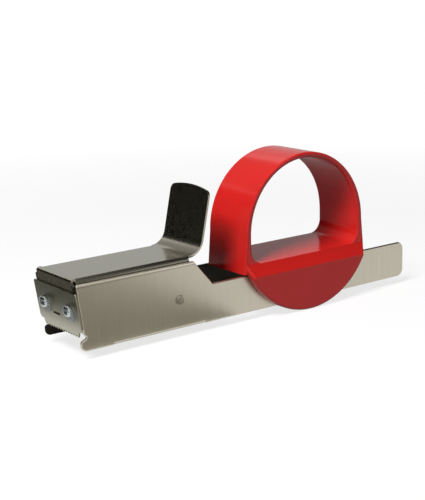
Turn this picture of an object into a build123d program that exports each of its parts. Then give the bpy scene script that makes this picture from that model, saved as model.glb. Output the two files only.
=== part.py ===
from build123d import *
from math import acos, atan2, cos, degrees, hypot, radians, sin, sqrt
import os

# A hand-held packing tape dispenser: a bent steel frame with one long side rail, a sprung thumb
# lever that carries the cutting blade, and a moulded grip hub that slides on the rail.
# Millimetres, +Z up. X runs along the rail with the blade end at -X and the rail's free end at +X.
# Y runs across, with the long side and the hub's flange at -Y. The pieces are drawn from the hub's
# centre, the middle of the frame and the lowest point of the hub's flange, and the finished object is
# moved so that its origin is the middle of its footprint, at the bottom.

# Sheet metal and frame
sheet = 0.9
bend_inner = 0.54
frame_width = 30.6
rail_bottom = 3.78
rail_height = 16.83
wall_height = 28.17
rail_end = 62.55
rail_corner = 3.6
far_rail_end = 10.8
wall_edge_round = 0.675
slope_setback = 7.83
slope_run = 9.63
slope_round = 0.9
front_reach = 49.95
front_slant = 2.79
notch_height = 7.29
notch_depth = 1.89
notch_round = 0.81
hook_setback = 1.44
hook_length = 2.52
hook_slant = 1.08
hook_round = 2.7
hook_nose_round = 1.17
floor_setback = 16.74
floor_behind_pin = 13.59

# Pivot pin and what runs on it
pin_x = -69.39
pin_height = 12.69
pin_diameter = 3.2
pin_head_overhang = 0.45
pin_head_height = 0.63
pin_head_round = 0.405
running_gap = 0.045
washer_rim = 1.98
washer_thickness = 0.36
roller_wall = 1.98
roller_rim_round = 0.72
roller_groove = 0.45
roller_groove_count = 3
roller_groove_width = 1.08
roller_core_gap = 0.54
bush_wall = 1.305
bush_lip = 0.9
bush_flange = 0.54
bush_depth = 4.5
end_gap = 0.18
spool_length = 2.88
spool_wall = 0.54
spring_wire = 0.63
spring_turns = 2
spring_seat_gap = 0.018
spring_coil_step = 0.684
spring_up_reach = 5.31
spring_up_gap = 0.54
spring_down_reach = 14.31

# Thumb lever
lever_side_gap = 0.45
lever_top_gap = 1.35
lever_front_gap = 1.35
front_lean = 8.25
front_bend = 0.36
front_ear_depth = 8.19
front_overlap = 1.8
tab_root = 11.97
tab_lean = 12.35
tab_bend = 7.2
tab_length = 28.26
tab_crown = 55.8
tab_corner = 3.06
flange_setback = 2.34
flange_rear = 6.03
flange_low = 3.6
ear_radius = 5.76
heel_front = 2.16
heel_rear = 8.1
heel_floor_gap = 0.27
heel_corner = 0.45
ear_corner = 2.88
ear_front = 11.52
flange_shoulder = 8.1
flange_round = 1.35

# Cutting blade, measured down the front face from the lever's top
blade_thickness = 0.72
blade_top = 5.49
wing_rise = 3.735
blade_step = 1.26
tooth_depth = 1.2
tooth_count = 14
teeth_gap = 0.54
wing_reach = 1.44
wing_round = 1.98
wing_top_round = 0.72
blade_step_round = 0.54
screw_inset = 5.7
screw_drop = 13.68
slot_length = 5.94
slot_height = 1.08
slot_offset = 1.8
slot_drop = 3.69

# Blade screws, their clamp plates and nuts
screw_diameter = 2.5
screw_head = 5.13
screw_head_height = 1.62
screw_head_round = 1.4
screw_tail = 0.72
recess_width = 0.63
recess_length = 2.34
recess_depth = 0.81
clamp_width = 6.66
clamp_length = 7.3
clamp_thickness = 0.45
clamp_drop = 1.35
clamp_round = 3.2
nut_flats = 5.0
nut_height = 2.0
lock_washer_rim = 1.17
lock_washer_thickness = 0.63
lock_washer_slit = 0.63

# Tape retainer on the floor of the frame
retainer_side_gap = 5.4
retainer_thickness = 0.36
retainer_setback = 2.25
retainer_base = 7.65
retainer_rise = 5.4
retainer_run = 9.9
retainer_bend = 1.8
rivet_diameter = 2.16
rivet_head = 3.96
rivet_head_height = 0.72
rivet_inset = 3.6
rivet_sink = 0.45
rivet_sink_rim = 0.54
rivet_head_round = 0.45

# Grip hub
flange_radius = 37.17
hub_radius = 34.11
hub_wall = 3.15
hub_splay = 1.44
hub_width = 27.0
rim_overhang = 1.26
bar_thickness = 3.96
bar_rail_gap = 0.72
hole_corner = 6.3
hole_lift = 0.63
hole_draft = 0.54
bar_slope = 1.08
flange_thickness = 4.14
flange_rail_gap = 0.36
crease_drop = 1.17
rim_round = 0.95
hole_round = 1.35
far_round = 0.63
flange_edge_round = 1.08
lip_half = 6.75
lip_height = 2.43
lip_rail_gap = 0.45

# Bracket that closes the hub round the rail
bracket_sheet = 1.08
bracket_half = 13.5
bracket_rail_gap = 0.45
bracket_reach = 9.9
bracket_bend = 0.45
bracket_foot_rise = 0.18
bracket_shoulder = 5.22
bracket_window_gap = 0.45
small_screw = 1.8
small_head = 3.06
small_head_height = 1.08
small_head_round = 0.63
small_slot_width = 0.45
small_slot_depth = 0.45
small_screw_depth = 3.06
top_screw_spread = 18.0
top_screw_reach = 5.94
low_screw_spread = 8.1
pad_spring_thickness = 0.45
pad_spring_length = 22.5
pad_spring_height = 7.2
pad_spring_corner = 1.35
pad_radius = 2.07
pad_rail_gap = 0.27
pad_rivet_offset = 8.1
pad_rivet_diameter = 1.44
pad_rivet_head = 2.7
pad_rivet_head_height = 0.54

half_width = frame_width / 2
inner_half = half_width - sheet
rail_top = rail_bottom + rail_height
wall_top = rail_bottom + wall_height
floor_top = rail_bottom + sheet
bend_outer = bend_inner + sheet
front_at_top = pin_x - front_reach
front_at_notch = front_at_top + front_slant
notch_top = rail_bottom + notch_height
notch_bottom = notch_top - notch_depth
hook_top = notch_bottom - hook_slant
hook_x = front_at_top + hook_setback
notch_x = hook_x + hook_length
slope_top = pin_x + slope_setback
slope_bottom = slope_top + slope_run
floor_front = front_at_top + floor_setback
floor_rear = pin_x + floor_behind_pin
pin_z = rail_bottom + pin_height
pin_radius = pin_diameter / 2

screw_half = half_width - screw_inset
lever_half = inner_half - lever_side_gap
lever_inner = lever_half - sheet
lever_top = wall_top + lever_top_gap + sheet - pin_z
lever_front = front_at_top - lever_front_gap - pin_x
flange_front = lever_front + flange_setback
flange_fall = lever_top - bend_outer - flange_low
wing_bottom = pin_z + lever_top - hook_top - wing_rise
blade_root = wing_bottom + blade_step
front_depth = wing_bottom - front_overlap
front_run = sin(radians(front_lean))
front_fall = cos(radians(front_lean))
blade_half = half_width + wing_reach
teeth_half = inner_half - teeth_gap

spool_radius = pin_radius + spool_wall
spool_far = lever_inner - end_gap
spool_near = spool_far - spool_length
roller_far = spool_near - end_gap - bush_flange
roller_near = -lever_inner + end_gap + bush_flange
roller_length = roller_far - roller_near
bush_bore = pin_radius + running_gap
bush_radius = bush_bore + bush_wall
roller_radius = bush_radius + roller_wall
retainer_half = inner_half - retainer_side_gap
rivet_half = retainer_half - rivet_inset
retainer_front = floor_front + retainer_setback
retainer_rivet_x = retainer_front + retainer_base / 2

hub_z = flange_radius
hub_bore = hub_radius - hub_wall
hub_foot = hub_radius + hub_splay
near_rim = -half_width - rim_overhang
far_rim = near_rim + hub_width
bar_bottom = rail_top + bar_rail_gap
bar_top = bar_bottom + bar_thickness
crease_z = bar_bottom - crease_drop
flange_back = -half_width - flange_rail_gap
flange_face = flange_back - flange_thickness
lip_top = rail_bottom - lip_rail_gap
lip_bottom = lip_top - lip_height
lip_middle = (lip_bottom + lip_top) / 2
bracket_face = -inner_half + bracket_rail_gap
bracket_back = bracket_face + bracket_sheet
bracket_foot = lip_bottom + bracket_foot_rise
bracket_shoulder_z = bracket_foot + bracket_shoulder
pad_z = (rail_bottom + rail_top) / 2
pad_hole_radius = pad_radius + bracket_window_gap


def rounded(corners):
    """A face from corners given as (x, y, radius), each corner rounded by its radius."""
    face = make_face(Polyline(*[(x, y) for x, y, _ in corners], close=True))
    for x, y, radius in corners:
        if radius > 0:
            corner = face.vertices().sort_by_distance(Vector(x, y, 0))[0]
            face = fillet(corner, radius)
    return face


def across(face, y_low, y_high):
    """Stand a face drawn in X and Z up between two places across the frame."""
    return Pos(0, y_low, 0) * extrude(Plane.XZ * face, amount=y_low - y_high)


def along(face, x_low, x_high):
    """Carry a section drawn in Y and Z along the frame from one place to another."""
    return Pos(x_low, 0, 0) * extrude(Plane.YZ * face, amount=x_high - x_low)


def rod_across(radius, y_low, y_high, x, z):
    """A round rod lying across the frame."""
    return Pos(x, (y_low + y_high) / 2, z) * Rot(X=90) * Cylinder(radius, y_high - y_low)


def tube_across(outer, inner, y_low, y_high, x, z):
    return rod_across(outer, y_low, y_high, x, z) - rod_across(inner, y_low, y_high, x, z)


def bent_strip(points, radii, thickness):
    """Section of a folded sheet. The points are one face of it, the sheet lies on their left."""
    count = len(points)
    headings = [atan2(points[i + 1][1] - points[i][1], points[i + 1][0] - points[i][0])
                for i in range(count - 1)]
    other = []
    for i in range(count):
        before = headings[max(i - 1, 0)]
        after = headings[min(i, count - 2)]
        middle = (before + after) / 2
        reach = thickness / cos((after - before) / 2)
        other.append((points[i][0] - reach * sin(middle), points[i][1] + reach * cos(middle)))
    corners = [(points[0][0], points[0][1], 0)]
    for i in range(1, count - 1):
        left_turn = sin(headings[i] - headings[i - 1]) > 0
        radius = radii[i - 1] + (thickness if left_turn else 0)
        corners.append((points[i][0], points[i][1], radius))
    corners.append((points[-1][0], points[-1][1], 0))
    corners.append((other[-1][0], other[-1][1], 0))
    for i in range(count - 2, 0, -1):
        left_turn = sin(headings[i] - headings[i - 1]) > 0
        radius = radii[i - 1] + (0 if left_turn else thickness)
        corners.append((other[i][0], other[i][1], radius))
    corners.append((other[0][0], other[0][1], 0))
    return rounded(corners)


def wall_outline(end):
    """Side of the frame: blade end, box and the rail that runs back to its free end."""
    return rounded([
        (front_at_top, wall_top, slope_round),
        (slope_top, wall_top, slope_round),
        (slope_bottom, rail_top, slope_round),
        (end, rail_top, rail_corner),
        (end, rail_bottom, rail_corner),
        (hook_x, rail_bottom, hook_round),
        (hook_x, hook_top, hook_nose_round),
        (notch_x, notch_bottom, notch_round),
        (notch_x, notch_top - notch_round, notch_round),
        (front_at_notch, notch_top, notch_round),
    ])


def wall(end, side):
    """One side of the frame with its outer edge eased all the way round."""
    plate = across(wall_outline(end), *sorted((side * half_width, side * inner_half)))
    outer = plate.faces().sort_by(Axis.Y)[0 if side < 0 else -1]
    return fillet(outer.edges(), wall_edge_round)


def sunk_end():
    """Cone at the flush end of a rivet, from zero upwards."""
    radius = rivet_diameter / 2
    return Pos(0, 0, rivet_sink / 2) * Cone(radius + rivet_sink_rim, radius, rivet_sink)


def side_frame():
    walls = wall(rail_end, -1) + wall(far_rail_end, 1)
    trough = rounded([
        (-half_width, rail_bottom, bend_outer),
        (half_width, rail_bottom, bend_outer),
        (half_width, floor_top + bend_outer, 0),
        (inner_half, floor_top + bend_outer, 0),
        (inner_half, floor_top, bend_inner),
        (-inner_half, floor_top, bend_inner),
        (-inner_half, floor_top + bend_outer, 0),
        (-half_width, floor_top + bend_outer, 0),
    ])
    floor_length = floor_rear - floor_front
    clearing = Pos((floor_front + floor_rear) / 2, 0, rail_bottom + bend_outer / 2) * Box(
        floor_length, frame_width, bend_outer)
    frame = walls - clearing + along(trough, floor_front, floor_rear)
    frame -= rod_across(pin_radius, -half_width, half_width, pin_x, pin_z)
    for side in (-1, 1):
        frame -= Pos(retainer_rivet_x, side * rivet_half,
                     rail_bottom + sheet / 2) * Cylinder(rivet_diameter / 2, sheet)
        frame -= Pos(retainer_rivet_x, side * rivet_half, rail_bottom) * sunk_end()
    return frame


def pivot_pin():
    """Cross pin, riveted over on the outside of both walls."""
    pin = rod_across(pin_radius, -half_width, half_width, pin_x, pin_z)
    for side in (-1, 1):
        head = Cylinder(pin_radius + pin_head_overhang, pin_head_height)
        head = fillet(head.edges().group_by(Axis.Z)[-1], pin_head_round)
        pin += Pos(pin_x, side * (half_width + pin_head_height / 2), pin_z) * Rot(X=-side * 90) * head
    return pin


def pivot_washers():
    """Two washers that keep the lever off the walls."""
    return [tube_across(pin_radius + washer_rim, pin_radius,
                        *sorted((side * inner_half, side * (inner_half - washer_thickness))),
                        pin_x, pin_z)
            for side in (-1, 1)]


def guide_roller():
    roller = rod_across(roller_radius, roller_near, roller_far, pin_x, pin_z)
    roller = fillet(roller.edges().filter_by(GeomType.CIRCLE), roller_rim_round)
    step = roller_length / (roller_groove_count + 1)
    for i in range(roller_groove_count):
        middle = roller_near + step * (i + 1)
        roller -= tube_across(roller_radius, roller_radius - roller_groove,
                              middle - roller_groove_width / 2, middle + roller_groove_width / 2,
                              pin_x, pin_z)
    roller -= rod_across(pin_radius + roller_core_gap, roller_near, roller_far, pin_x, pin_z)
    for start, end in ((roller_near, roller_near + bush_depth), (roller_far - bush_depth, roller_far)):
        roller -= rod_across(bush_radius, start, end, pin_x, pin_z)
    return roller


def roller_bushes():
    """Two flanged plain bushes pressed into the ends of the roller."""
    bushes = []
    for end, into in ((roller_near, 1), (roller_far, -1)):
        body = tube_across(bush_radius, bush_bore, *sorted((end, end + into * bush_depth)),
                           pin_x, pin_z)
        body += tube_across(bush_radius + bush_lip, bush_bore,
                            *sorted((end, end - into * bush_flange)), pin_x, pin_z)
        bushes.append(body)
    return bushes


def spring_spool():
    """Sleeve on the pin that the return spring is wound round."""
    return tube_across(spool_radius, pin_radius, spool_near, spool_far, pin_x, pin_z)


def coil_angle(radius, x, z, side):
    """Where round the pin a wire on its way to a point leaves the coil, in radians."""
    return atan2(z, x) + side * acos(radius / hypot(x, z))


def return_spring():
    """Torsion spring: a short coil round the sleeve, one leg up to the lever, one on the floor."""
    wire = spring_wire / 2
    radius = spool_radius + spring_seat_gap + wire
    up = (-spring_up_reach, lever_top - sheet - spring_up_gap - wire)
    down = (-spring_down_reach, floor_top + spring_seat_gap + wire - pin_z)
    start = coil_angle(radius, *up, -1)
    end = coil_angle(radius, *down, 1)
    turns = spring_turns + ((start - end) / radians(360)) % 1
    travel = spring_coil_step * turns
    start_y = (spool_near + spool_far - travel) / 2
    path = Helix(pitch=spring_coil_step, height=travel, radius=radius)
    section = Circle(wire)
    spring = sweep(Plane(origin=path @ 0, z_dir=path % 0) * section, path=path, is_frenet=True)
    climb = hypot(spring_coil_step, radians(360) * radius) / (radians(360) * radius)
    for place, way, (x, z) in ((0, -1, up), (1, 1, down)):
        leg = sqrt(hypot(x, z) ** 2 - radius ** 2) * climb
        spring += extrude(Plane(origin=path @ place, z_dir=(path % place) * way) * section,
                          amount=leg)
    return Pos(pin_x, start_y, pin_z) * Rot(X=-90) * Rot(Z=-degrees(start)) * spring


def on_lever(piece):
    """Carry something drawn round the pivot to where the lever stands at rest."""
    return Pos(pin_x, 0, pin_z) * piece


face_plane = Plane(origin=(lever_front, 0, lever_top), x_dir=(0, 1, 0),
                   z_dir=(-front_fall, 0, -front_run))


def on_face(sketch, depth, thickness):
    """Place something drawn on the lever's sloping front: x across, y up, from a depth outwards."""
    plate = extrude(sketch, amount=thickness)
    return on_lever(face_plane * Pos(0, 0, depth) * plate)


def thumb_lever():
    tab_tip = (tab_root + tab_length * sin(radians(tab_lean)),
               lever_top + tab_length * cos(radians(tab_lean)))
    face_foot = (lever_front + front_depth * front_run, lever_top - front_depth * front_fall)
    section = bent_strip([tab_tip, (tab_root, lever_top), (lever_front, lever_top), face_foot],
                         [tab_bend, front_bend], sheet)
    body = across(section, -lever_half, lever_half)
    body -= Pos((flange_front + flange_rear) / 2, 0, lever_top - sheet / 2) * Box(
        flange_rear - flange_front, lever_half * 2, sheet)
    profile = rounded([
        (flange_front, lever_top, 0),
        (flange_rear, lever_top, 0),
        (flange_rear, lever_top - sheet, 0),
        (heel_rear, lever_top - flange_shoulder, flange_round),
        (heel_rear, floor_top + heel_floor_gap - pin_z, heel_corner),
        (heel_front, floor_top + heel_floor_gap - pin_z, heel_corner),
        (-ear_radius, -ear_radius, ear_corner),
        (-ear_front, flange_low, flange_round),
        (flange_front + flange_fall * front_run / front_fall, flange_low, flange_round),
        (flange_front, flange_low + flange_fall, 0),
    ])
    channel = rounded([
        (-lever_half, -pin_z, 0),
        (-lever_half, lever_top, bend_outer),
        (lever_half, lever_top, bend_outer),
        (lever_half, -pin_z, 0),
        (lever_inner, -pin_z, 0),
        (lever_inner, lever_top - sheet, bend_inner),
        (-lever_inner, lever_top - sheet, bend_inner),
        (-lever_inner, -pin_z, 0),
    ])
    body += along(channel, flange_front, heel_rear) & across(profile, -lever_half, lever_half)
    body -= rod_across(bush_bore, -lever_half, lever_half, 0, 0)
    half_tab = lever_half
    crown_drop = tab_crown - sqrt(tab_crown ** 2 - half_tab ** 2)
    blank = make_face(
        Polyline((-half_tab, -crown_drop), (-half_tab, -tab_length), (half_tab, -tab_length),
                 (half_tab, -crown_drop)) + RadiusArc((half_tab, -crown_drop),
                                                      (-half_tab, -crown_drop), -tab_crown))
    top_corners = blank.vertices().group_by(Axis.Y)[-1]
    blank = fillet(top_corners, tab_corner)
    keep = Pos(0, tab_length / 2) * Rectangle(frame_width * 2, tab_length * 2) - blank
    tip_plane = Plane(origin=(tab_tip[0], 0, tab_tip[1]), x_dir=(0, 1, 0),
                      z_dir=(cos(radians(tab_lean)), 0, -sin(radians(tab_lean))))
    trim = extrude(keep & Rectangle(frame_width * 2, tab_length), amount=tab_bend, both=True)
    body -= tip_plane * trim
    lever = on_lever(body)
    ear_top = bend_outer + sheet
    ears = rounded([(side * half_width, drop, flange_round / 2)
                    for side, drop in ((-1, ear_top), (1, ear_top),
                                       (1, front_ear_depth), (-1, front_ear_depth))])
    lever += on_face(ears, -sheet, sheet)
    for side in (-1, 1):
        hole = Pos(side * screw_half, screw_drop) * Circle(screw_diameter / 2)
        lever -= on_face(hole, -sheet, sheet)
    return lever


def blade_outline():
    pitch = teeth_half * 2 / tooth_count
    left = [(-blade_half, blade_top, wing_top_round), (-blade_half, wing_bottom, wing_round),
            (-teeth_half, wing_bottom, blade_step_round), (-teeth_half, blade_root, 0)]
    right = [(-x, drop, radius) for x, drop, radius in reversed(left)]
    teeth = []
    for i in range(tooth_count):
        teeth.append((pitch * (i + 1 / 2) - teeth_half, blade_root + tooth_depth, 0))
        teeth.append((pitch * (i + 1) - teeth_half, blade_root, 0))
    return rounded(left + teeth[:-1] + right)


def slot_face(length, height):
    return Rectangle(length - height, height) + [
        Pos(end * (length - height) / 2, 0) * Circle(height / 2) for end in (-1, 1)]


def cutting_blade():
    face = blade_outline()
    face -= Pos(slot_offset, screw_drop + slot_drop) * slot_face(slot_length, slot_height)
    for side in (-1, 1):
        face -= Pos(side * screw_half, screw_drop) * Circle(screw_diameter / 2)
    return on_face(face, 0, blade_thickness)


def clamp_plates():
    plates = []
    for side in (-1, 1):
        face = Pos(side * screw_half, screw_drop + clamp_drop) * RectangleRounded(
            clamp_width, clamp_length, clamp_round)
        face -= Pos(side * screw_half, screw_drop) * Circle(screw_diameter / 2)
        plates.append(on_face(face, blade_thickness, clamp_thickness))
    return plates


def blade_screws():
    seat = blade_thickness + clamp_thickness
    shank_length = seat + sheet + lock_washer_thickness + nut_height + screw_tail
    screws = []
    for side in (-1, 1):
        head = Cylinder(screw_head / 2, screw_head_height)
        head = fillet(head.edges().group_by(Axis.Z)[-1], screw_head_round)
        for turn in (0, 90):
            head -= Pos(0, 0, (screw_head_height - recess_depth) / 2) * Rot(Z=turn) * Box(
                recess_length, recess_width, recess_depth)
        screw = Pos(0, 0, screw_head_height / 2) * head
        screw += Pos(0, 0, -shank_length / 2) * Cylinder(screw_diameter / 2, shank_length)
        place = face_plane * Pos(side * screw_half, screw_drop, seat)
        screws.append(on_lever(place * screw))
    return screws


def blade_nuts():
    nuts = []
    for side in (-1, 1):
        face = RegularPolygon(nut_flats / 2, 6, major_radius=False) - Circle(screw_diameter / 2)
        face = Pos(side * screw_half, screw_drop) * face
        nuts.append(on_face(face, -sheet - lock_washer_thickness - nut_height, nut_height))
    return nuts


def lock_washers():
    """Split spring washers under the nuts."""
    washers = []
    for side in (-1, 1):
        outer = screw_diameter / 2 + lock_washer_rim
        face = Circle(outer) - Circle(screw_diameter / 2)
        face -= Pos(outer / 2, 0) * Rectangle(outer, lock_washer_slit)
        face = Pos(side * screw_half, screw_drop) * face
        washers.append(on_face(face, -sheet - lock_washer_thickness, lock_washer_thickness))
    return washers


def tape_retainer():
    """Spring-steel finger that keeps the end of the tape from slipping back."""
    base_end = retainer_front + retainer_base
    section = bent_strip([
        (retainer_front, floor_top),
        (base_end, floor_top),
        (base_end + retainer_run, floor_top + retainer_rise)],
        [retainer_bend], retainer_thickness)
    finger = across(section, -retainer_half, retainer_half)
    for side in (-1, 1):
        finger -= Pos(retainer_rivet_x, side * rivet_half,
                      floor_top + retainer_thickness / 2) * Cylinder(
                          rivet_diameter / 2, retainer_thickness)
    return finger


def retainer_rivets():
    """Two rivets with a domed head on the leaf and a flush end under the floor."""
    length = sheet + retainer_thickness
    dome = Cylinder(rivet_head / 2, rivet_head_height)
    dome = fillet(dome.edges().group_by(Axis.Z)[-1], rivet_head_round)
    rivet = Pos(0, 0, length / 2) * Cylinder(rivet_diameter / 2, length) + sunk_end()
    rivet += Pos(0, 0, length + rivet_head_height / 2) * dome
    return [Pos(retainer_rivet_x, side * rivet_half, rail_bottom) * rivet for side in (-1, 1)]


def hub_outline():
    """Outside of the ring: round above its centre, splayed sides down to the bar's underside."""
    arc = ThreePointArc((hub_radius, hub_z), (0, hub_z + hub_radius), (-hub_radius, hub_z))
    foot = Polyline((-hub_radius, hub_z), (-hub_foot, bar_bottom), (hub_foot, bar_bottom),
                    (hub_radius, hub_z))
    return make_face(arc + foot)


def hub_hole(y, radius, floor):
    """Outline of the finger hole at one place across the hub."""
    middle = hub_z + hole_lift
    arc = ThreePointArc((radius, middle), (0, middle + radius), (-radius, middle))
    foot = Polyline((-radius, middle), (-radius, floor), (radius, floor), (radius, middle))
    face = make_face(arc + foot)
    face = fillet(face.vertices().group_by(Axis.Y)[0], hole_corner)
    return Plane(origin=(0, y, 0), x_dir=(1, 0, 0), z_dir=(0, -1, 0)) * face


def rim_edges(body, y):
    """Edges of the ring's end face at one place across, except the bar's underside."""
    edges = body.edges().filter_by_position(Axis.Y, y - running_gap, y + running_gap)
    return edges.filter_by(lambda edge: edge.center().Z > bar_bottom + running_gap)


def hole_edges(body, y):
    """Edges of the finger hole in the ring's end face at one place across."""
    face = body.faces().filter_by(Axis.Y).sort_by_distance(Vector(0, y, hub_z))[0]
    return face.inner_wires()[0].edges()


def hub_flange():
    """Half-moon outside the rail, its bare face sloping back to the bar above the crease."""
    depth = near_rim + flange_thickness
    reach = flange_radius + flange_thickness
    outline = Pos(0, hub_z) * Circle(flange_radius) & Rectangle(hub_foot * 2, reach * 2)
    disc = across(outline, flange_face, depth)
    section = make_face(Polyline((flange_back, 0), (flange_face, 0), (flange_face, crease_z),
                                 (near_rim, bar_top), (depth, bar_top), (depth, bar_bottom),
                                 (flange_back, bar_bottom), close=True))
    flange = disc & along(section, -reach, reach)
    edges = flange.edges().filter_by(
        lambda edge: edge.center().Y < near_rim - running_gap and edge.center().Y < flange_back)
    return fillet(edges, flange_edge_round)


def grip_hub():
    ring = across(hub_outline(), near_rim, far_rim)
    ring = fillet(rim_edges(ring, near_rim), rim_round)
    ring = fillet(rim_edges(ring, far_rim), far_round)
    ring -= loft([hub_hole(near_rim, hub_bore, bar_top),
                  hub_hole(far_rim, hub_bore + hole_draft, bar_top + bar_slope)])
    for y, radius in ((near_rim, hole_round), (far_rim, far_round)):
        ring = fillet(hole_edges(ring, y), radius)
    lip = Pos(0, (flange_back + bracket_face) / 2, lip_middle) * Box(
        lip_half * 2, bracket_face - flange_back, lip_top - lip_bottom)
    hub = ring + hub_flange() + lip
    for side in (-1, 1):
        hub -= Pos(side * top_screw_spread / 2, bracket_face + top_screw_reach,
                   bar_bottom + small_screw_depth / 2) * Cylinder(small_screw / 2, small_screw_depth)
        hub -= rod_across(small_screw / 2, bracket_face - small_screw_depth, bracket_face,
                          side * low_screw_spread / 2, lip_middle)
    return hub


def rail_bracket():
    """Bent plate on the hub that closes it round the inside of the rail."""
    section = bent_strip([
        (bracket_face, bracket_foot), (bracket_face, bar_bottom),
        (bracket_face + bracket_reach, bar_bottom)],
        [bracket_bend], -bracket_sheet)
    plate = along(section, -bracket_half, bracket_half)
    for side in (-1, 1):
        plate -= Pos(side * (bracket_half + lip_half) / 2, bracket_face,
                     (bracket_foot + bracket_shoulder_z) / 2) * Box(
            bracket_half - lip_half, bracket_sheet * 2, bracket_shoulder)
        plate -= Pos(side * top_screw_spread / 2, bracket_face + top_screw_reach,
                     bar_bottom - bracket_sheet / 2) * Cylinder(small_screw / 2, bracket_sheet)
        plate -= rod_across(small_screw / 2, bracket_face, bracket_back,
                            side * low_screw_spread / 2, lip_middle)
        plate -= rod_across(pad_rivet_diameter / 2, bracket_face, bracket_back,
                            side * pad_rivet_offset, pad_z)
    return plate - rod_across(pad_hole_radius, bracket_face, bracket_back, 0, pad_z)


def small_slotted_screw():
    """Slotted screw along Z: its head stands on zero and its shank goes down."""
    head = Cylinder(small_head / 2, small_head_height)
    head = fillet(head.edges().group_by(Axis.Z)[-1], small_head_round)
    head -= Pos(0, 0, (small_head_height - small_slot_depth) / 2) * Box(
        small_head, small_slot_width, small_slot_depth)
    length = bracket_sheet + small_screw_depth
    return Pos(0, 0, small_head_height / 2) * head + Pos(0, 0, -length / 2) * Cylinder(
        small_screw / 2, length)


def bracket_screws():
    screws = []
    for side in (-1, 1):
        screws.append(Pos(side * top_screw_spread / 2, bracket_face + top_screw_reach,
                          bar_bottom - bracket_sheet) * Rot(X=180) * small_slotted_screw())
        screws.append(Pos(side * low_screw_spread / 2, bracket_back, lip_middle)
                      * Rot(X=-90) * small_slotted_screw())
    return screws


def friction_spring():
    """Leaf on the bracket whose pad drags on the rail and holds the hub where it is left."""
    blank = RectangleRounded(pad_spring_length, pad_spring_height, pad_spring_corner)
    leaf = Pos(0, 0, pad_z) * across(blank, bracket_back, bracket_back + pad_spring_thickness)
    for side in (-1, 1):
        leaf -= rod_across(pad_rivet_diameter / 2, bracket_back, bracket_back + pad_spring_thickness,
                           side * pad_rivet_offset, pad_z)
    pad = rod_across(pad_radius, -inner_half + pad_rail_gap, bracket_back, 0, pad_z)
    pad = fillet(pad.edges().filter_by(GeomType.CIRCLE).sort_by(Axis.Y)[0], pad_radius / 2)
    return leaf + pad


def friction_rivets():
    seat = bracket_back + pad_spring_thickness
    rivets = []
    for side in (-1, 1):
        head = rod_across(pad_rivet_head / 2, seat, seat + pad_rivet_head_height,
                          side * pad_rivet_offset, pad_z)
        head = fillet(head.edges().filter_by(GeomType.CIRCLE).sort_by(Axis.Y)[-1],
                      pad_rivet_head_height / 2)
        rivets.append(head + rod_across(pad_rivet_diameter / 2, bracket_face, seat,
                                        side * pad_rivet_offset, pad_z))
    return rivets


def solids_of(piece):
    """All solids of a piece, or of a list of pieces."""
    items = piece if isinstance(piece, list) else [piece]
    return [solid for item in items for solid in item.solids()]


def save(name, solids):
    whole = solids[0] if len(solids) == 1 else Compound(children=solids)
    whole.label = name
    export_step(whole, "parts/" + name + ".step")


pieces = {
    "side_frame": side_frame,
    "pivot_pin": pivot_pin,
    "pivot_washers": pivot_washers,
    "guide_roller": guide_roller,
    "roller_bushes": roller_bushes,
    "spring_spool": spring_spool,
    "return_spring": return_spring,
    "thumb_lever": thumb_lever,
    "cutting_blade": cutting_blade,
    "clamp_plates": clamp_plates,
    "blade_screws": blade_screws,
    "blade_nuts": blade_nuts,
    "lock_washers": lock_washers,
    "tape_retainer": tape_retainer,
    "retainer_rivets": retainer_rivets,
    "grip_hub": grip_hub,
    "rail_bracket": rail_bracket,
    "bracket_screws": bracket_screws,
    "friction_spring": friction_spring,
    "friction_rivets": friction_rivets,
}

built = {name: solids_of(build()) for name, build in pieces.items()}
box = Compound([solid for solids in built.values() for solid in solids]).bounding_box()
to_origin = Pos(-box.center().X, -box.center().Y, -box.min.Z)
print("moved to the origin by", [round(value, 4) for value in to_origin.position])

os.makedirs("parts", exist_ok=True)
for name, solids in built.items():
    save(name, [to_origin * solid for solid in solids])
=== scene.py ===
from math import cos, radians, sin

import bmesh
import bpy
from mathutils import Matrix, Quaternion, Vector


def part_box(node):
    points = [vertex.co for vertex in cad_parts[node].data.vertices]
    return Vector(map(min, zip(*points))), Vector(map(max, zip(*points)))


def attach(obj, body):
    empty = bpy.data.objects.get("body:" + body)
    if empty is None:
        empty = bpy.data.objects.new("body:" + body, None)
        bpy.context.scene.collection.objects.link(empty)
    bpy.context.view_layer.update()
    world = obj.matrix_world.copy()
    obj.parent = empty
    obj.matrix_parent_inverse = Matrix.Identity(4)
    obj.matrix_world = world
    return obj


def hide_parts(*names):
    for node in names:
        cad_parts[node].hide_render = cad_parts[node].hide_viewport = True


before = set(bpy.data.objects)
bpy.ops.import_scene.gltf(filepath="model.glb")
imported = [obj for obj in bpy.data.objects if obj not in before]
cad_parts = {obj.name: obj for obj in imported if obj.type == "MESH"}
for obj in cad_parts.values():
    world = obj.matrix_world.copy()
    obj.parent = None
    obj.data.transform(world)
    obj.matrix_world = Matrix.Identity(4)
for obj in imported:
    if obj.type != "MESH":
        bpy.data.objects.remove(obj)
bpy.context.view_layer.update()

bl_info = {
    "name": "Packing tape dispenser",
    "version": (1, 0, 0),
    "blender": (4, 5, 0),
    "location": "3D View > Sidebar > Dispenser",
    "description": "Dresses the packing tape dispenser with soft edges, finishes, lights and a camera",
    "category": "Object",
}

MM = 0.001
WALLS_LOW, WALLS_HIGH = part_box("side_frame")
MIDDLE_Y = (WALLS_LOW.y + WALLS_HIGH.y) / 2
HALF_WIDTH = (WALLS_HIGH.y - WALLS_LOW.y) / 2


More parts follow.
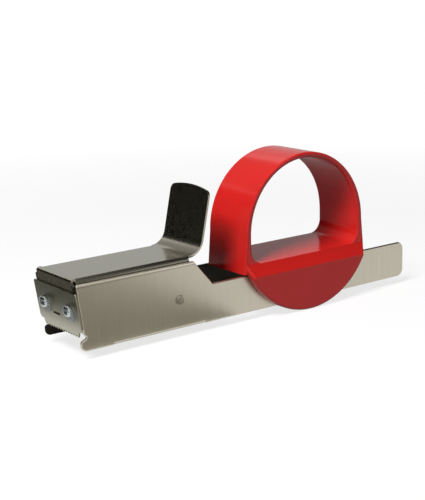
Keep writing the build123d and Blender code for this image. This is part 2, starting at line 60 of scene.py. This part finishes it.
class DispenserSizes(bpy.types.PropertyGroup):
    """Sizes that a user would change."""
    sheet_edge: bpy.props.FloatProperty(
        name="Sheet edge", description="Rounding of the sheet metal's edges",
        default=0.14 * MM, min=0.0, unit="LENGTH")
    small_edge: bpy.props.FloatProperty(
        name="Small edge", description="Rounding of edges on the blade, its screws and clamp plates",
        default=0.07 * MM, min=0.0, unit="LENGTH")
    moulded_edge: bpy.props.FloatProperty(
        name="Moulded edge", description="Rounding of the hub's remaining sharp edges",
        default=0.35 * MM, min=0.0, unit="LENGTH")


class DispenserColours(bpy.types.PropertyGroup):
    """Colours that a user would change."""
    steel: bpy.props.FloatVectorProperty(
        name="Satin steel", description="Colour of the plated sheet steel",
        default=(0.52, 0.485, 0.394), size=3, min=0.0, max=1.0, subtype="COLOR")
    blade: bpy.props.FloatVectorProperty(
        name="Blade steel", description="Colour of the hardened blade",
        default=(0.44, 0.43, 0.34), size=3, min=0.0, max=1.0, subtype="COLOR")
    zinc: bpy.props.FloatVectorProperty(
        name="Bright zinc", description="Colour of the plated screws and clamp plates",
        default=(0.50, 0.53, 0.54), size=3, min=0.0, max=1.0, subtype="COLOR")
    aluminium: bpy.props.FloatVectorProperty(
        name="Aluminium", description="Colour of the small rivets",
        default=(0.72, 0.72, 0.71), size=3, min=0.0, max=1.0, subtype="COLOR")
    brass: bpy.props.FloatVectorProperty(
        name="Brass", description="Colour of the roller's bushes",
        default=(0.75, 0.56, 0.27), size=3, min=0.0, max=1.0, subtype="COLOR")
    red: bpy.props.FloatVectorProperty(
        name="Hub red", description="Colour of the moulded hub",
        default=(0.64, 0.018, 0.015), size=3, min=0.0, max=1.0, subtype="COLOR")
    black: bpy.props.FloatVectorProperty(
        name="Roller black", description="Colour of the guide roller",
        default=(0.02, 0.02, 0.021), size=3, min=0.0, max=1.0, subtype="COLOR")
    # Painted shade: the dark colour painted where the lever runs close to the walls and on the far
    # wall's inner face
    painted_shade: bpy.props.FloatVectorProperty(
        name="Painted shade", description="Colour of the dirt between the lever and the walls",
        default=(0.02, 0.018, 0.014), size=3, min=0.0, max=1.0, subtype="COLOR")
    floor: bpy.props.FloatVectorProperty(
        name="Floor", description="Colour of the floor under the light",
        default=(0.25, 0.25, 0.25), size=3, min=0.0, max=1.0, subtype="COLOR")


def sizes():
    return bpy.context.scene.dispenser_sizes


def colours():
    return bpy.context.scene.dispenser_colours


class Nodes:
    """A material's node tree, built one node at a time."""

    def __init__(self, name):
        self.material = bpy.data.materials.new(name)
        self.material.use_nodes = True
        self.tree = self.material.node_tree
        self.shader = next(n for n in self.tree.nodes if n.type == "BSDF_PRINCIPLED")
        self.object = self.add("ShaderNodeTexCoord").outputs["Object"]

    def add(self, kind, **settings):
        node = self.tree.nodes.new(kind)
        for key, value in settings.items():
            setattr(node, key, value)
        return node

    def join(self, output, socket):
        self.tree.links.new(output, socket)

    def stretched(self, scale):
        """Object coordinates stretched by a scale along each axis."""
        mapping = self.add("ShaderNodeMapping")
        mapping.inputs["Scale"].default_value = scale
        self.join(self.object, mapping.inputs["Vector"])
        return mapping.outputs["Vector"]

    def noise(self, scale, detail=3.0, roughness=0.5, stretch=(1.0, 1.0, 1.0)):
        """A cloud pattern. The scale is in cells per metre."""
        node = self.add("ShaderNodeTexNoise")
        node.inputs["Scale"].default_value = scale
        node.inputs["Detail"].default_value = detail
        node.inputs["Roughness"].default_value = roughness
        self.join(self.stretched(stretch), node.inputs["Vector"])
        return node.outputs["Fac"]

    def spread(self, value, low, high, start=0.3, end=0.7):
        """A value's range from start to end, mapped to low to high."""
        node = self.add("ShaderNodeMapRange")
        node.inputs["From Min"].default_value = start
        node.inputs["From Max"].default_value = end
        node.inputs["To Min"].default_value = low
        node.inputs["To Max"].default_value = high
        self.join(value, node.inputs["Value"])
        return node.outputs["Result"]

    def rise(self, place, ramp, full=1.0):
        """0 up to the ramp's first place and full from its second. The ramp is in millimetres."""
        return self.spread(place, 0.0, full, ramp[0] * MM, ramp[1] * MM)

    def fall(self, place, ramp):
        """1 up to the ramp's first place and 0 from its second. The ramp is in millimetres."""
        return self.spread(place, 1.0, 0.0, ramp[0] * MM, ramp[1] * MM)

    def maths(self, operation, first, second):
        """One sum on two values. The second may be a number."""
        node = self.add("ShaderNodeMath", operation=operation)
        self.join(first, node.inputs[0])
        if isinstance(second, bpy.types.NodeSocket):
            self.join(second, node.inputs[1])
        else:
            node.inputs[1].default_value = second
        return node.outputs["Value"]

    def product(self, first, *others):
        """Masks multiplied with each other, so that only what is in all of them stays."""
        for other in others:
            first = self.maths("MULTIPLY", first, other)
        return first

    def from_place(self, axis, place):
        """Object coordinate along one axis, measured from a place on it."""
        split = self.add("ShaderNodeSeparateXYZ")
        self.join(self.object, split.inputs["Vector"])
        return self.maths("SUBTRACT", split.outputs[axis], place)

    def outside_walls(self):
        """Distance out from the outer faces of the frame's walls, less than 0 between them."""
        off_middle = self.maths("ABSOLUTE", self.from_place("Y", MIDDLE_Y), 0.0)
        return self.maths("SUBTRACT", off_middle, HALF_WIDTH)

    def blend(self, factor, first, second):
        """First colour where the factor is 0, second where it is 1. A colour may be a socket."""
        node = self.add("ShaderNodeMix", data_type="RGBA")
        self.join(factor, node.inputs["Factor"])
        for socket, colour in ((node.inputs["A"], first), (node.inputs["B"], second)):
            if isinstance(colour, bpy.types.NodeSocket):
                self.join(colour, socket)
            else:
                socket.default_value = (*colour, 1.0)
        return node.outputs["Result"]

    def mottled(self, pattern, colour, darker, lighter):
        """A colour that goes from a darker to a lighter shade of it with a pattern."""
        return self.blend(self.spread(pattern, 0.0, 1.0), shade(colour, darker), shade(colour, lighter))

    def bump(self, height, strength, distance, below=None):
        """Surface relief of a pattern, over the relief below it. The distance is in millimetres."""
        node = self.add("ShaderNodeBump")
        node.inputs["Strength"].default_value = strength
        node.inputs["Distance"].default_value = distance * MM
        self.join(height, node.inputs["Height"])
        if below:
            self.join(below, node.inputs["Normal"])
        return node.outputs["Normal"]


def shade(colour, factor):
    return tuple(channel * factor for channel in colour)


# Stretch of the brushing's fine pattern into lines, by the axis along which the metal was brushed
BRUSH_STRETCH = {"X": (0.02, 1.0, 1.0), "Z": (1.0, 1.0, 0.02)}
UNEVEN_SHINE = 0.02
MOULDING_GLOSS = 0.24

# Shades of the plain metals, for pieces that are darker than them
PIN_SHADE = 0.75
SPRING_SHADE = 0.9
CLAMP_SHADE = 0.8
BRACKET_SHADE = 0.75

# Where the painted shade and painted highlights lie. Each pair is where a mark starts to change and
# where it is done, in
# millimetres: out from the walls' outer faces, up from the walls' top or back from their front.
FLANGE_OUT = (-1.70, -1.50)
FLANGE_UP = (0.95, 1.45)
FOLD_OUT = (-2.65, -2.35)
FOLD_UP = (0.65, 1.05)
FOLD_TOP = (2.10, 2.22)
FOLD_BACK = (0.95, 1.25)
CUT_EDGE_OUT = (-1.50, -1.40)
CUT_EDGE_UP = (2.35, 6.05)
EAR_OUT = (-0.30, -0.10)
WALL_FOLD_UP = (-1.75, -1.45)
WALL_FOLD_TOP = (-1.20, -0.95)
WALL_EDGE_UP = (-1.15, -0.85)
FAR_WALL_INSIDE = (-2.30, -1.50)
FAR_WALL_OUTSIDE = (-0.85, -0.70)

# Share of the painted shade or the painted highlight in each mark
FLANGE_PAINTED_SHADE = 0.62
FOLD_PAINTED_SHADE = 0.8
CUT_EDGE_PAINTED_SHADE = 0.36
EAR_PAINTED_SHADE = 0.92
WALL_FOLD_PAINTED_SHADE = 0.3
FAR_WALL_PAINTED_SHADE = 0.86
WALL_EDGE_HIGHLIGHT_SHARE = 0.8
WALL_EDGE_HIGHLIGHT = 1.35


def lever_painted_shade(m, tone):
    """Painted shade where the lever's flanges, folds and ears run close to the walls, and on its cut
    edges.
    """
    out = m.outside_walls()
    up = m.from_place("Z", WALLS_HIGH.z)
    back = m.from_place("X", WALLS_LOW.x)
    flange = m.product(m.rise(out, FLANGE_OUT), m.fall(up, FLANGE_UP), FLANGE_PAINTED_SHADE)
    fold = m.product(m.rise(out, FOLD_OUT, FOLD_PAINTED_SHADE), m.fall(up, FOLD_TOP),
                     m.rise(back, FOLD_BACK), m.rise(up, FOLD_UP))
    cut_edge = m.product(m.rise(out, CUT_EDGE_OUT, CUT_EDGE_PAINTED_SHADE), m.rise(up, CUT_EDGE_UP))
    ear = m.rise(out, EAR_OUT, EAR_PAINTED_SHADE)
    # Each mark blends in the painted shade colour.
    for mark in (flange, fold, cut_edge, ear):
        tone = m.blend(mark, tone, colours().painted_shade)
    return tone


def frame_painted_light(m, tone):
    """A painted highlight on the walls' upper edges, a painted dark line just below it, and painted
    shade on the far wall's inner face.
    """
    up = m.from_place("Z", WALLS_HIGH.z)
    # Painted shade: a dark band just below the walls' top edges.
    fold = m.product(m.rise(up, WALL_FOLD_UP, WALL_FOLD_PAINTED_SHADE), m.fall(up, WALL_FOLD_TOP))
    tone = m.blend(fold, tone, colours().painted_shade)
    # Painted highlight: the walls' top edges are lighter.
    edge = m.rise(up, WALL_EDGE_UP, WALL_EDGE_HIGHLIGHT_SHARE)
    tone = m.blend(edge, tone, shade(colours().steel, WALL_EDGE_HIGHLIGHT))
    # Painted shade: the far wall's inner face is darkened.
    far_side = m.from_place("Y", WALLS_HIGH.y)
    inner_face = m.product(m.rise(far_side, FAR_WALL_INSIDE, FAR_WALL_PAINTED_SHADE),
                           m.fall(far_side, FAR_WALL_OUTSIDE))
    return m.blend(inner_face, tone, colours().painted_shade)


def brushed_metal(name, colour, roughness, brush, stain=0.04, depth=0.03, painted_light=None):
    """Satin sheet metal with fine brushing, faint stains and its own painted light and shade."""
    m = Nodes(name)
    lines = m.noise(scale=2600.0, roughness=0.6, stretch=BRUSH_STRETCH[brush])
    cloud = m.noise(scale=38.0)
    tone = m.mottled(cloud, colour, darker=1.0 - stain, lighter=1.0 + stain)
    tone = m.blend(m.spread(lines, 0.0, 1.0), tone, shade(colour, 1.0 - 2 * stain))
    if painted_light:
        tone = painted_light(m, tone)
    m.join(tone, m.shader.inputs["Base Color"])
    shine = m.spread(cloud, low=roughness - UNEVEN_SHINE, high=roughness + UNEVEN_SHINE)
    m.join(shine, m.shader.inputs["Roughness"])
    m.shader.inputs["Metallic"].default_value = 1.0
    m.join(m.bump(lines, strength=depth, distance=0.01), m.shader.inputs["Normal"])
    return m.material


def bright_metal(name, colour, roughness):
    """Plated or turned hardware with tiny pits and a slightly uneven shine."""
    m = Nodes(name)
    tone = m.mottled(m.noise(scale=350.0), colour, darker=0.88, lighter=1.05)
    m.join(tone, m.shader.inputs["Base Color"])
    shine = m.spread(m.noise(scale=1500.0), low=roughness * 0.7, high=roughness * 1.4)
    m.join(shine, m.shader.inputs["Roughness"])
    m.shader.inputs["Metallic"].default_value = 1.0
    pits = m.noise(scale=2200.0)
    m.join(m.bump(pits, strength=0.08, distance=0.01), m.shader.inputs["Normal"])
    return m.material


def gloss_moulding(name, colour):
    """Glossy injection moulding: deep colour, a soft flow ripple and a very fine grain."""
    m = Nodes(name)
    tone = m.mottled(m.noise(scale=26.0, detail=2.0), colour, darker=0.93, lighter=1.05)
    m.join(tone, m.shader.inputs["Base Color"])
    m.join(m.spread(m.noise(scale=700.0), low=0.14, high=0.19), m.shader.inputs["Roughness"])
    m.shader.inputs["Specular IOR Level"].default_value = MOULDING_GLOSS
    ripple = m.bump(m.noise(scale=160.0, detail=1.0), strength=0.05, distance=0.05)
    grain = m.noise(scale=3000.0, detail=2.0)
    m.join(m.bump(grain, strength=0.03, distance=0.01, below=ripple), m.shader.inputs["Normal"])
    return m.material


def matte_moulding(name, colour):
    """Matte moulding with a fine grain."""
    m = Nodes(name)
    tone = m.mottled(m.noise(scale=300.0), colour, darker=0.8, lighter=1.3)
    m.join(tone, m.shader.inputs["Base Color"])
    m.join(m.spread(m.noise(scale=1200.0), low=0.45, high=0.6), m.shader.inputs["Roughness"])
    grain = m.noise(scale=2500.0)
    m.join(m.bump(grain, strength=0.2, distance=0.02), m.shader.inputs["Normal"])
    return m.material


# How a CAD node's loose triangles become a clean mesh with rounded edges
MERGE_DISTANCE = 0.002 * MM
SLIVER_LENGTH = 0.001 * MM
FLAT_ANGLE = radians(0.5)
SHARP_ANGLE = radians(38.0)
EDGE_SEGMENTS = 2
FLAT_FACE_WEIGHT = 80


def mesh_of(name, bm, material):
    """A new object that holds what was modelled, with one finish."""
    mesh = bpy.data.meshes.new(name)
    bm.to_mesh(mesh)
    bm.free()
    mesh.materials.append(material)
    made = bpy.data.objects.new(name, mesh)
    bpy.context.scene.collection.objects.link(made)
    return made


def is_sharp(edge):
    return len(edge.link_faces) == 2 and edge.calc_face_angle() > SHARP_ANGLE


def softened(node, name, material, body, rounding):
    """A copy of a CAD node with its sharp edges rounded. It rides the body and stands for the node."""
    bm = bmesh.new()
    bm.from_mesh(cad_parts[node].data)
    bmesh.ops.remove_doubles(bm, verts=bm.verts, dist=MERGE_DISTANCE)
    bmesh.ops.dissolve_degenerate(bm, edges=bm.edges, dist=SLIVER_LENGTH)
    bmesh.ops.dissolve_limit(bm, angle_limit=FLAT_ANGLE, verts=bm.verts, edges=bm.edges)
    sharp = [edge for edge in bm.edges if is_sharp(edge)]
    bmesh.ops.bevel(bm, geom=sharp, offset=rounding, offset_type="OFFSET", affect="EDGES",
                    segments=EDGE_SEGMENTS, profile=0.5, material=-1, clamp_overlap=True)
    for face in bm.faces:
        face.smooth = True
    piece = mesh_of(name, bm, material)
    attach(piece, body)
    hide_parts(node)
    keep_faces_flat(piece)


def keep_faces_flat(piece):
    """Let only the small rounded edges turn the light, and keep broad faces flat."""
    weighted = piece.modifiers.new("flat faces", "WEIGHTED_NORMAL")
    weighted.keep_sharp = True
    weighted.weight = FLAT_FACE_WEIGHT


def dress(material, *nodes):
    """Give CAD nodes a finish."""
    for node in nodes:
        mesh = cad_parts[node].data
        mesh.materials.clear()
        mesh.materials.append(material)


class DISPENSER_OT_side_frame(bpy.types.Operator):
    """Make the bent side frame"""
    bl_idname = "dispenser.side_frame"
    bl_label = "Side frame"

    def execute(self, context):
        # The frame's finish has a painted highlight on the walls' top edges, and painted shade just
        # below them and on the far wall's inner face.
        steel = brushed_metal("satin_steel_upright", colours().steel, roughness=0.32, brush="Z",
                              stain=0.045, depth=0.025, painted_light=frame_painted_light)
        softened("side_frame", "side_frame_sheet", steel, "frame", sizes().sheet_edge)
        return {"FINISHED"}


class DISPENSER_OT_pivot(bpy.types.Operator):
    """Finish the pivot pin, its washers, and the return spring on its sleeve"""
    bl_idname = "dispenser.pivot"
    bl_label = "Pivot and spring"

    def execute(self, context):
        pin_steel = bright_metal("pin_steel", shade(colours().steel, PIN_SHADE), roughness=0.18)
        dress(pin_steel, "pivot_pin", "pivot_washers", "spring_spool")
        spring_steel = bright_metal("spring_steel", shade(colours().steel, SPRING_SHADE), roughness=0.2)
        dress(spring_steel, "return_spring")
        return {"FINISHED"}


class DISPENSER_OT_retainer(bpy.types.Operator):
    """Finish the leaf that holds the tape's end, and its rivets"""
    bl_idname = "dispenser.retainer"
    bl_label = "Tape retainer"

    def execute(self, context):
        dress(brushed_metal("leaf_steel", colours().steel, roughness=0.25, brush="X"), "tape_retainer")
        dress(bright_metal("rivet_aluminium", colours().aluminium, roughness=0.35), "retainer_rivets")
        return {"FINISHED"}


class DISPENSER_OT_lever(bpy.types.Operator):
    """Make the thumb lever"""
    bl_idname = "dispenser.lever"
    bl_label = "Thumb lever"

    def execute(self, context):
        # The lever's finish has painted shade on its flanges, folds, cut edges and ears beside the
        # walls.
        steel = brushed_metal("satin_steel_lever", colours().steel, roughness=0.22, brush="X",
                              stain=0.02, depth=0.01, painted_light=lever_painted_shade)
        softened("thumb_lever", "thumb_lever_sheet", steel, "lever", sizes().sheet_edge)
        return {"FINISHED"}


class DISPENSER_OT_blade(bpy.types.Operator):
    """Make the cutting blade"""
    bl_idname = "dispenser.blade"
    bl_label = "Cutting blade"

    def execute(self, context):
        steel = brushed_metal("blade_steel", colours().blade, roughness=0.3, brush="Z")
        softened("cutting_blade", "cutting_blade_sheet", steel, "lever", sizes().small_edge)
        return {"FINISHED"}


class DISPENSER_OT_clamps(bpy.types.Operator):
    """Make the blade's clamp plates and screws, and finish its nuts and lock washers"""
    bl_idname = "dispenser.clamps"
    bl_label = "Clamp plates and screws"

    def execute(self, context):
        bright = bright_metal("bright_zinc", colours().zinc, roughness=0.16)
        dull = bright_metal("dull_zinc", shade(colours().zinc, CLAMP_SHADE), roughness=0.3)
        softened("clamp_plates", "clamp_plates_zinc", dull, "lever", sizes().small_edge)
        softened("blade_screws", "blade_screws_zinc", bright, "lever", sizes().small_edge)
        dress(dull, "blade_nuts", "lock_washers")
        return {"FINISHED"}


class DISPENSER_OT_roller(bpy.types.Operator):
    """Finish the guide roller and its bushes"""
    bl_idname = "dispenser.roller"
    bl_label = "Guide roller"

    def execute(self, context):
        dress(matte_moulding("roller_black", colours().black), "guide_roller")
        dress(bright_metal("bush_brass", colours().brass, roughness=0.3), "roller_bushes")
        return {"FINISHED"}


class DISPENSER_OT_hub(bpy.types.Operator):
    """Make the grip hub"""
    bl_idname = "dispenser.hub"
    bl_label = "Grip hub"

    def execute(self, context):
        red = gloss_moulding("hub_red", colours().red)
        softened("grip_hub", "grip_hub_moulding", red, "hub", sizes().moulded_edge)
        return {"FINISHED"}


class DISPENSER_OT_bracket(bpy.types.Operator):
    """Finish the bracket that closes the hub round the rail, its screws and its friction spring"""
    bl_idname = "dispenser.bracket"
    bl_label = "Rail bracket"

    def execute(self, context):
        plate = bright_metal("bracket_zinc", shade(colours().zinc, BRACKET_SHADE), roughness=0.35)
        dress(plate, "rail_bracket")
        dress(bright_metal("screw_zinc", colours().zinc, roughness=0.25), "bracket_screws")
        leaf = bright_metal("friction_steel", shade(colours().steel, SPRING_SHADE), roughness=0.25)
        dress(leaf, "friction_spring")
        aluminium = bright_metal("friction_rivet_aluminium", colours().aluminium, roughness=0.35)
        dress(aluminium, "friction_rivets")
        return {"FINISHED"}


# Camera: a long lens from the front left, a little above. Angles are in degrees, shifts in pixels.
IMAGE_HEIGHT = 500
FOCAL_PIXELS = 1218.5
SENSOR_WIDTH = 36.0
VIEW_AZIMUTH = -36.41
VIEW_ELEVATION = 13.63
VIEW_ROLL = -1.51
VIEW_DISTANCE = 531.81 * MM
VIEW_TARGET = Vector((-14.018, -2.970, 32.004)) * MM
SHIFT_RIGHT = -0.32
SHIFT_UP = -0.16
CLIP_START = 0.01
CLIP_END = 20.0

# Level of the white world as a light, and of the floor's own glow for the rays that see it
WORLD_FILL = 0.14
FLOOR_GLOW = 0.76

# The floor is clear from here outwards, in metres from the object, where the white world shows
FLOOR_FADE_START = 0.22
FLOOR_FADE_END = 0.5
FLOOR_RADIUS = FLOOR_FADE_END * 1.1
FLOOR_SEGMENTS = 64

# Lamps: name, place, what it points at, width and height, all in metres, and power in watts
LAMPS = (
    ("key", (-0.50, -0.20, 0.68), (0.0, 0.0, 0.03), 0.30, 0.30, 8.3),
)

# Cards that show only in reflections: name, centre, what it faces, width and height, all in
# metres, and colour. A card with None lies face up on the floor.
CARDS = (
    ("flag_back_left", (-0.62, 0.70, 0.20), (-0.06, 0.0, 0.05), 0.9, 0.7, (0.01, 0.01, 0.008)),
    ("flag_back_top", (-0.12, 0.62, 0.80), (-0.02, 0.0, 0.03), 0.9, 0.62, (0.26, 0.26, 0.25)),
    ("flag_back_right", (0.45, 0.62, 0.22), (0.0, 0.0, 0.03), 0.9, 0.55, (0.53, 0.545, 0.55)),
    ("flag_floor_left", (-0.313, 0.20, 0.0015), None, 0.42, 0.40, (0.09, 0.09, 0.075)),
    ("flag_floor_back", (0.05, 0.17, 0.0016), None, 0.22, 0.28, (0.32, 0.32, 0.32)),
    ("flag_floor_front", (-0.0475, -0.18, 0.0015), None, 0.085, 0.32, (0.34, 0.32, 0.28)),
    ("flag_floor_side", (-0.27, -0.16, 0.0015), None, 0.28, 0.30, (0.08, 0.08, 0.08)),
    ("flag_left", (-0.80, -0.05, 0.55), (0.0, -0.05, 0.30), 1.0, 0.9, (0.05, 0.05, 0.05)),
    ("flag_right", (0.72, -0.125, 0.80), (0.0, -0.125, 0.80), 1.95, 1.10, (0.02, 0.02, 0.02)),
    # flag_under is painted shade: a dark card for the shadowed floor under the tool, seen in the inner
    # walls' reflections
    ("flag_under", (-0.015, 0.0015, 0.0006), None, 0.14, 0.026, (0.01, 0.01, 0.01)),
)
WHITE = (1.0, 1.0, 1.0)
UP = Vector((0.0, 0.0, 1.0))


def seen_ray(tree):
    """1 for the rays that show the backdrop: straight, in a reflection or through glass."""
    paths = tree.nodes.new("ShaderNodeLightPath")
    seen = paths.outputs["Is Camera Ray"]
    for ray in ("Is Glossy Ray", "Is Transmission Ray"):
        either = tree.nodes.new("ShaderNodeMath")
        either.operation = "MAXIMUM"
        tree.links.new(seen, either.inputs[0])
        tree.links.new(paths.outputs[ray], either.inputs[1])
        seen = either.outputs["Value"]
    return seen


def floor_material():
    """Pale floor that keeps the object's shadow and fades into the white backdrop further out."""
    m = Nodes("pale_floor")
    m.shader.inputs["Roughness"].default_value = 0.9
    m.shader.inputs["Specular IOR Level"].default_value = 0.0
    tone = m.mottled(m.noise(scale=3.0), colours().floor, darker=0.995, lighter=1.0)
    m.join(tone, m.shader.inputs["Base Color"])
    m.shader.inputs["Emission Color"].default_value = (*WHITE, 1.0)
    glow = m.maths("MULTIPLY", seen_ray(m.tree), FLOOR_GLOW)
    m.join(glow, m.shader.inputs["Emission Strength"])
    reach = m.add("ShaderNodeVectorMath", operation="LENGTH")
    m.join(m.object, reach.inputs[0])
    fade = m.spread(reach.outputs["Value"], 0.0, 1.0, FLOOR_FADE_START, FLOOR_FADE_END)
    clear = m.add("ShaderNodeBsdfTransparent")
    mix = m.add("ShaderNodeMixShader")
    m.join(fade, mix.inputs["Fac"])
    m.join(m.shader.outputs["BSDF"], mix.inputs[1])
    m.join(clear.outputs["BSDF"], mix.inputs[2])
    output = next(n for n in m.tree.nodes if n.type == "OUTPUT_MATERIAL")
    m.join(mix.outputs["Shader"], output.inputs["Surface"])
    return m.material


def add_floor():
    bm = bmesh.new()
    bmesh.ops.create_circle(bm, cap_ends=True, segments=FLOOR_SEGMENTS, radius=FLOOR_RADIUS)
    mesh_of("floor", bm, floor_material())


def add_world():
    """White for every ray that sees it, and a faint even light for the rest."""
    world = bpy.data.worlds.new("studio")
    bpy.context.scene.world = world
    world.use_nodes = True
    nodes, links = world.node_tree.nodes, world.node_tree.links
    background = nodes["Background"]
    background.inputs["Color"].default_value = (*WHITE, 1.0)
    strength = nodes.new("ShaderNodeMapRange")
    strength.inputs["To Min"].default_value = WORLD_FILL
    strength.inputs["To Max"].default_value = 1.0
    links.new(seen_ray(world.node_tree), strength.inputs["Value"])
    links.new(strength.outputs["Result"], background.inputs["Strength"])


def add_lamp(name, place, target, width, height, power):
    """A soft lamp that lights the object but doesn't show in its metal."""
    data = bpy.data.lights.new(name, "AREA")
    data.shape = "RECTANGLE"
    data.size = width
    data.size_y = height
    data.energy = power
    lamp = bpy.data.objects.new(name, data)
    bpy.context.scene.collection.objects.link(lamp)
    lamp.location = place
    lamp.rotation_mode = "QUATERNION"
    lamp.rotation_quaternion = (Vector(target) - Vector(place)).to_track_quat("-Z", "Y")
    lamp.visible_glossy = False


def card_material(name, colour):
    """A plain colour that no light changes."""
    material = bpy.data.materials.new(name)
    material.use_nodes = True
    nodes = material.node_tree.nodes
    nodes.clear()
    glow = nodes.new("ShaderNodeEmission")
    glow.inputs["Color"].default_value = (*colour, 1.0)
    output = nodes.new("ShaderNodeOutputMaterial")
    material.node_tree.links.new(glow.outputs["Emission"], output.inputs["Surface"])
    return material


def add_card(name, centre, target, width, height, colour):
    """A studio card that shows only in reflections, as flags and reflectors do for shiny metal."""
    facing = Vector(target) - Vector(centre) if target else UP
    bm = bmesh.new()
    bmesh.ops.create_grid(bm, x_segments=1, y_segments=1, size=0.5)
    bmesh.ops.scale(bm, verts=bm.verts, vec=(width, height, 1.0))
    turn = facing.to_track_quat("Z", "Y").to_matrix()
    bmesh.ops.rotate(bm, verts=bm.verts, cent=(0, 0, 0), matrix=turn)
    bmesh.ops.translate(bm, verts=bm.verts, vec=centre)
    card = mesh_of(name, bm, card_material(name, colour))
    card.visible_camera = False
    card.visible_diffuse = False
    card.visible_transmission = False
    card.visible_shadow = False


def add_camera():
    data = bpy.data.cameras.new("camera")
    data.sensor_width = SENSOR_WIDTH
    data.lens = FOCAL_PIXELS / IMAGE_HEIGHT * SENSOR_WIDTH
    data.shift_x = SHIFT_RIGHT / IMAGE_HEIGHT
    data.shift_y = SHIFT_UP / IMAGE_HEIGHT
    data.clip_start = CLIP_START
    data.clip_end = CLIP_END
    camera = bpy.data.objects.new("camera", data)
    bpy.context.scene.collection.objects.link(camera)
    azimuth, elevation = radians(VIEW_AZIMUTH), radians(VIEW_ELEVATION)
    back = Vector((sin(azimuth) * cos(elevation), -cos(azimuth) * cos(elevation), sin(elevation)))
    roll = Quaternion(back, radians(VIEW_ROLL))
    camera.rotation_mode = "QUATERNION"
    camera.rotation_quaternion = roll @ (-back).to_track_quat("-Z", "Y")
    camera.location = VIEW_TARGET + back * VIEW_DISTANCE
    bpy.context.scene.camera = camera


class DISPENSER_OT_stage(bpy.types.Operator):
    """Make the floor, the world, the lights and the camera"""
    bl_idname = "dispenser.stage"
    bl_label = "Stage"

    def execute(self, context):
        context.scene.view_settings.view_transform = "Standard"
        add_floor()
        add_world()
        for lamp in LAMPS:
            add_lamp(*lamp)
        for card in CARDS:
            add_card(*card)
        add_camera()
        return {"FINISHED"}


OPERATORS = (
    DISPENSER_OT_stage,
    DISPENSER_OT_side_frame,
    DISPENSER_OT_pivot,
    DISPENSER_OT_retainer,
    DISPENSER_OT_lever,
    DISPENSER_OT_blade,
    DISPENSER_OT_clamps,
    DISPENSER_OT_roller,
    DISPENSER_OT_hub,
    DISPENSER_OT_bracket,
)


class DISPENSER_PT_panel(bpy.types.Panel):
    """Lists the dispenser's sizes, colours and pieces"""
    bl_label = "Packing tape dispenser"
    bl_idname = "DISPENSER_PT_panel"
    bl_space_type = "VIEW_3D"
    bl_region_type = "UI"
    bl_category = "Dispenser"

    def draw(self, context):
        for group in (sizes(), colours()):
            column = self.layout.column()
            for key in group.bl_rna.properties.keys():
                if key not in ("rna_type", "name"):
                    column.prop(group, key)
        for operator in OPERATORS:
            self.layout.operator(operator.bl_idname)


CLASSES = (DispenserSizes, DispenserColours, *OPERATORS, DISPENSER_PT_panel)


def register():
    for cls in CLASSES:
        bpy.utils.register_class(cls)
    bpy.types.Scene.dispenser_sizes = bpy.props.PointerProperty(type=DispenserSizes)
    bpy.types.Scene.dispenser_colours = bpy.props.PointerProperty(type=DispenserColours)


def unregister():
    del bpy.types.Scene.dispenser_colours
    del bpy.types.Scene.dispenser_sizes
    for cls in reversed(CLASSES):
        bpy.utils.unregister_class(cls)


def main():
    register()
    bpy.ops.dispenser.stage()
    bpy.ops.dispenser.side_frame()
    bpy.ops.dispenser.pivot()
    bpy.ops.dispenser.retainer()
    bpy.ops.dispenser.lever()
    bpy.ops.dispenser.blade()
    bpy.ops.dispenser.clamps()
    bpy.ops.dispenser.roller()
    bpy.ops.dispenser.hub()
    bpy.ops.dispenser.bracket()


if __name__ == "__main__":
    main()
